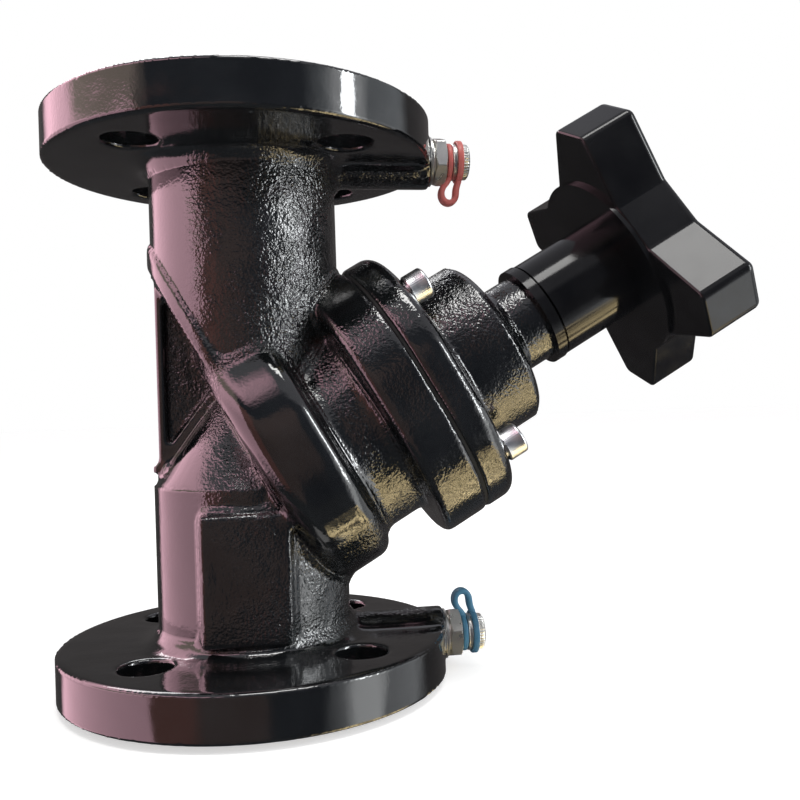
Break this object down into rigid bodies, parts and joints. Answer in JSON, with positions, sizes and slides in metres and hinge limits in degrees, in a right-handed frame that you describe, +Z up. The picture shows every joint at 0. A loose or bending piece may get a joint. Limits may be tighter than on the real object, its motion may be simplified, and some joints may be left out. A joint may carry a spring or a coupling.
{
  "type": "static balancing valve",
  "caption": "Flanged inclined-stem balancing valve: a star handwheel drives a throttle plug onto an angled seat; capped measuring points either side of the seat.",
  "frame": {"origin": "centre of the lower pipe flange's gasket face, on the pipe axis", "axes": "+Z up the pipe axis to the upper flange; +X in the stem plane, towards the side the handwheel leans to; +Y completes the right-handed set"},
  "size_m": [0.2581, 0.14, 0.21],
  "materials": {
    "black_enamel": "gloss black enamel on ductile iron, as-cast grain",
    "brass": "machined brass",
    "nickel_brass": "nickel-plated brass",
    "stem_steel": "turned stainless steel",
    "zinc_steel": "zinc-plated steel",
    "black_rubber": "matte moulded rubber",
    "gasket_sheet": "compressed sheet",
    "black_plastic": "gloss black moulded nylon",
    "red_plastic": "soft red plastic",
    "blue_plastic": "soft blue plastic"
  },
  "bodies": {
    "casting": {"valve_body": "black_enamel", "seat_ring": "brass", "bonnet_gasket": "gasket_sheet", "bonnet": "black_enamel", "bonnet_screws": "zinc_steel", "gland_bush": "brass", "lower_thrust_washer": "brass", "index_ring": "black_plastic", "upper_test_nipple": "nickel_brass", "upper_needle_seal": "black_rubber", "upper_nipple_ring": "black_rubber", "lower_test_nipple": "nickel_brass", "lower_needle_seal": "black_rubber", "lower_nipple_ring": "black_rubber"},
    "handwheel": {"spindle": "stem_steel", "lower_stem_ring": "black_rubber", "upper_stem_ring": "black_rubber", "upper_thrust_washer": "brass", "limit_screw": "zinc_steel", "handwheel_sleeve": "black_plastic", "handwheel_star": "black_plastic", "handwheel_nut": "zinc_steel", "handwheel_cap": "black_plastic"},
    "plug": {"throttle_cone": "brass", "plug_seal": "black_rubber", "plug_carrier": "brass"},
    "upper_seal": {"upper_cap_seal": "black_rubber"},
    "upper_cap": {"upper_test_cap": "nickel_brass"},
    "upper_strap": {"upper_cap_strap": "red_plastic"},
    "lower_seal": {"lower_cap_seal": "black_rubber"},
    "lower_cap": {"lower_test_cap": "nickel_brass"},
    "lower_strap": {"lower_cap_strap": "blue_plastic"}
  },
  "joints": [
    {"name": "handwheel_turn", "type": "hinge", "parent": "casting", "child": "handwheel", "pos_m": [0.0866, 0, 0.1205], "axis": [0.866, 0, 0.5], "range_deg": [0, 1440]},
    {"name": "plug_lift", "type": "slide", "parent": "casting", "child": "plug", "axis": [0.866, 0, 0.5], "range_m": [0, 0.012]},
    {"name": "upper_cap_travel", "type": "slide", "parent": "casting", "child": "upper_seal", "axis": [1, 0, 0], "range_m": [0, 0.0025]},
    {"name": "upper_cap_turn", "type": "hinge", "parent": "upper_seal", "child": "upper_cap", "pos_m": [0.084, 0, 0.194], "axis": [1, 0, 0], "range_deg": [0, 900]},
    {"name": "upper_strap_swivel", "type": "hinge", "parent": "casting", "child": "upper_strap", "pos_m": [0.08, 0, 0.194], "axis": [1, 0, 0], "continuous": true},
    {"name": "lower_cap_travel", "type": "slide", "parent": "casting", "child": "lower_seal", "axis": [1, 0, 0], "range_m": [0, 0.0025]},
    {"name": "lower_cap_turn", "type": "hinge", "parent": "lower_seal", "child": "lower_cap", "pos_m": [0.084, 0, 0.0125], "axis": [1, 0, 0], "range_deg": [0, 900]},
    {"name": "lower_strap_swivel", "type": "hinge", "parent": "casting", "child": "lower_strap", "pos_m": [0.08, 0, 0.0125], "axis": [1, 0, 0], "continuous": true}
  ],
  "couplings": [
    {"joint": "plug_lift", "follows": "handwheel_turn", "m_per_rad": 0.00047746},
    {"joint": "upper_cap_turn", "follows": "upper_cap_travel", "rad_per_m": 6283.2},
    {"joint": "lower_cap_turn", "follows": "lower_cap_travel", "rad_per_m": 6283.2}
  ]
}
